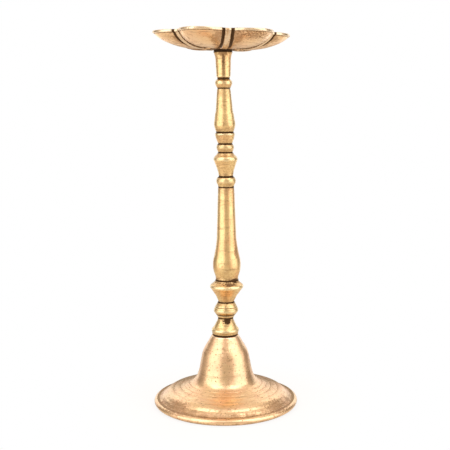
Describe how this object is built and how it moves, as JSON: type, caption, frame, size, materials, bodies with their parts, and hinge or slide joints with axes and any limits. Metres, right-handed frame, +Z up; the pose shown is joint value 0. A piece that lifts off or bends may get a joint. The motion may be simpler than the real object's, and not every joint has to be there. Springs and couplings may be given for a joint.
{
  "type": "votive lamp stand",
  "caption": "Tall single-stem brass stand with a petalled dish, a stem of turned sections on a tie rod, and a hollow bell foot; dish and stem unscrew.",
  "frame": {"origin": "on the stem's axis, at the level of the surface that the base's rim rests on", "axes": "+Z up along the stem, -Y towards the viewer of the reference view, +X to the viewer's right"},
  "size_m": [0.1176, 0.1176, 0.3],
  "materials": {
    "cast_brass": "cast, turned and hand-rubbed, rosy, with brown stains and small pits",
    "turned_brass": "turned and worn bright, with fine lathe lines and dark brown in the grooves",
    "rod_steel": "plain threaded steel, slightly darkened",
    "washer_leather": "thin dark oiled leather"
  },
  "bodies": {
    "base": {"base_bell": "cast_brass"},
    "lower_seat": {"foot_washer": "washer_leather"},
    "stem": {"foot_cone": "turned_brass", "foot_ring": "turned_brass", "foot_knop": "turned_brass", "flared_collar": "turned_brass", "lower_baluster": "turned_brass", "ring_collar": "turned_brass", "vase_knop": "turned_brass", "small_bead": "turned_brass", "reel_collar": "turned_brass", "upper_baluster": "turned_brass", "neck": "turned_brass", "tie_rod": "rod_steel"},
    "upper_seat": {"dish_washer": "washer_leather"},
    "dish": {"petal_dish": "cast_brass"}
  },
  "joints": [
    {"name": "stem_rise", "type": "slide", "parent": "base", "child": "lower_seat", "axis": [0, 0, 1], "range_m": [0, 0.012]},
    {"name": "stem_screw", "type": "hinge", "parent": "lower_seat", "child": "stem", "pos_m": [0, 0, 0.057], "axis": [0, 0, 1], "range_deg": [0, 3402]},
    {"name": "dish_rise", "type": "slide", "parent": "stem", "child": "upper_seat", "axis": [0, 0, 1], "range_m": [0, 0.0095]},
    {"name": "dish_screw", "type": "hinge", "parent": "upper_seat", "child": "dish", "pos_m": [0, 0, 0.285], "axis": [0, 0, 1], "range_deg": [0, 2693.5]}
  ],
  "couplings": [
    {"joint": "stem_screw", "follows": "stem_rise", "rad_per_m": 4947.4},
    {"joint": "dish_screw", "follows": "dish_rise", "rad_per_m": 4947.4}
  ]
}
